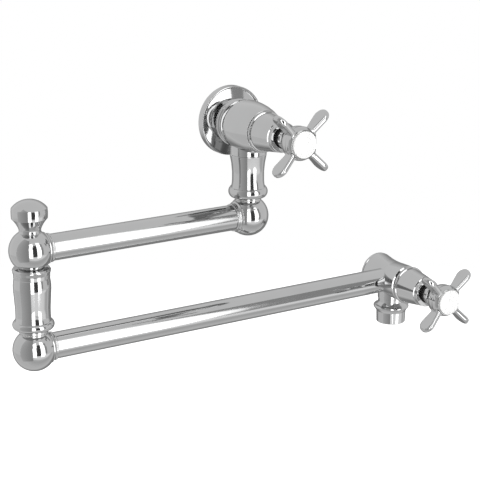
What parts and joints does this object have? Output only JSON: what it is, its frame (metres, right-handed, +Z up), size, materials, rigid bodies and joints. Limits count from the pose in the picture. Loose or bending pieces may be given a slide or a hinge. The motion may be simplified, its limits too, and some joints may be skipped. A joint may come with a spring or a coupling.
{
  "type": "pot filler",
  "caption": "Wall-mounted pot filler tap in chrome: two folding tube arms on ball elbows, a valve with a cross handle at the wall and another at the outlet.",
  "frame": {"origin": "centre of the half-inch supply inlet, in the plane of the wall", "axes": "+Z up, +Y into the wall along the inlet's axis, +X to the right of someone who faces the wall"},
  "size_m": [0.4096, 0.121, 0.2357],
  "materials": {
    "polished_chrome": "mirror-polished chrome plate",
    "button_porcelain": "glossy white glaze",
    "black_rubber": "matt black rubber",
    "black_stop_ring": "black moulded plastic, fine serrations",
    "cartridge_brass": "turned brass",
    "disc_ceramic": "lapped alumina",
    "screw_steel": "plain stainless steel",
    "washer_ptfe": "smooth white low-friction plastic",
    "aerator_plastic": "smooth moulded plastic"
  },
  "bodies": {
    "wall_valve": {"wall_flange": "polished_chrome", "flange_gasket": "black_rubber", "flange_o_ring": "black_rubber", "wall_body": "polished_chrome", "wall_bonnet": "polished_chrome", "wall_bonnet_o_ring": "black_rubber", "wall_cartridge_shell": "cartridge_brass", "wall_cartridge_o_ring": "black_rubber", "wall_seat_seal": "black_rubber", "wall_fixed_disc": "disc_ceramic", "wall_stop_ring": "black_stop_ring", "wall_post": "polished_chrome", "wall_post_o_ring": "black_rubber", "wall_swivel_screw": "screw_steel"},
    "wall_tap": {"wall_spindle": "cartridge_brass", "wall_spindle_o_rings": "black_rubber", "wall_moving_disc": "disc_ceramic", "wall_handle": "polished_chrome", "wall_handle_screw": "screw_steel", "wall_index_button": "button_porcelain"},
    "upper_arm": {"upper_arm_ball": "polished_chrome", "wall_swivel_o_rings": "black_rubber", "wall_swivel_washer": "washer_ptfe", "upper_arm_tube": "polished_chrome", "elbow_ball": "polished_chrome", "elbow_finial": "polished_chrome", "elbow_finial_o_ring": "black_rubber", "elbow_ring": "polished_chrome", "elbow_column": "polished_chrome", "elbow_swivel_screw": "screw_steel"},
    "lower_arm": {"lower_arm_ball": "polished_chrome", "elbow_swivel_o_rings": "black_rubber", "elbow_swivel_washer": "washer_ptfe", "lower_arm_tube": "polished_chrome", "end_valve_body": "polished_chrome", "end_bonnet": "polished_chrome", "end_bonnet_o_ring": "black_rubber", "end_cartridge_shell": "cartridge_brass", "end_cartridge_o_ring": "black_rubber", "end_seat_seal": "black_rubber", "end_fixed_disc": "disc_ceramic", "end_stop_ring": "black_stop_ring", "outlet_nozzle": "polished_chrome", "outlet_o_ring": "black_rubber", "aerator_washer": "black_rubber", "aerator_shell": "polished_chrome", "aerator_insert": "aerator_plastic", "aerator_screen": "polished_chrome"},
    "end_tap": {"end_spindle": "cartridge_brass", "end_spindle_o_rings": "black_rubber", "end_moving_disc": "disc_ceramic", "end_handle": "polished_chrome", "end_handle_screw": "screw_steel", "end_index_button": "button_porcelain"}
  },
  "joints": [
    {"name": "wall_tap_turn", "type": "hinge", "parent": "wall_valve", "child": "wall_tap", "pos_m": [0, -0.059, 0], "axis": [0, -1, 0], "range_deg": [0, 90]},
    {"name": "wall_swivel", "type": "hinge", "parent": "wall_valve", "child": "upper_arm", "pos_m": [0, -0.0325, -0.079], "axis": [0, 0, 1], "range_deg": [0, 180]},
    {"name": "elbow_swivel", "type": "hinge", "parent": "upper_arm", "child": "lower_arm", "pos_m": [-0.206, -0.0325, -0.1633], "axis": [0, 0, 1], "continuous": true},
    {"name": "end_tap_turn", "type": "hinge", "parent": "lower_arm", "child": "end_tap", "pos_m": [0.16, -0.0578, -0.1633], "axis": [0, -1, 0], "range_deg": [0, 90]}
  ]
}
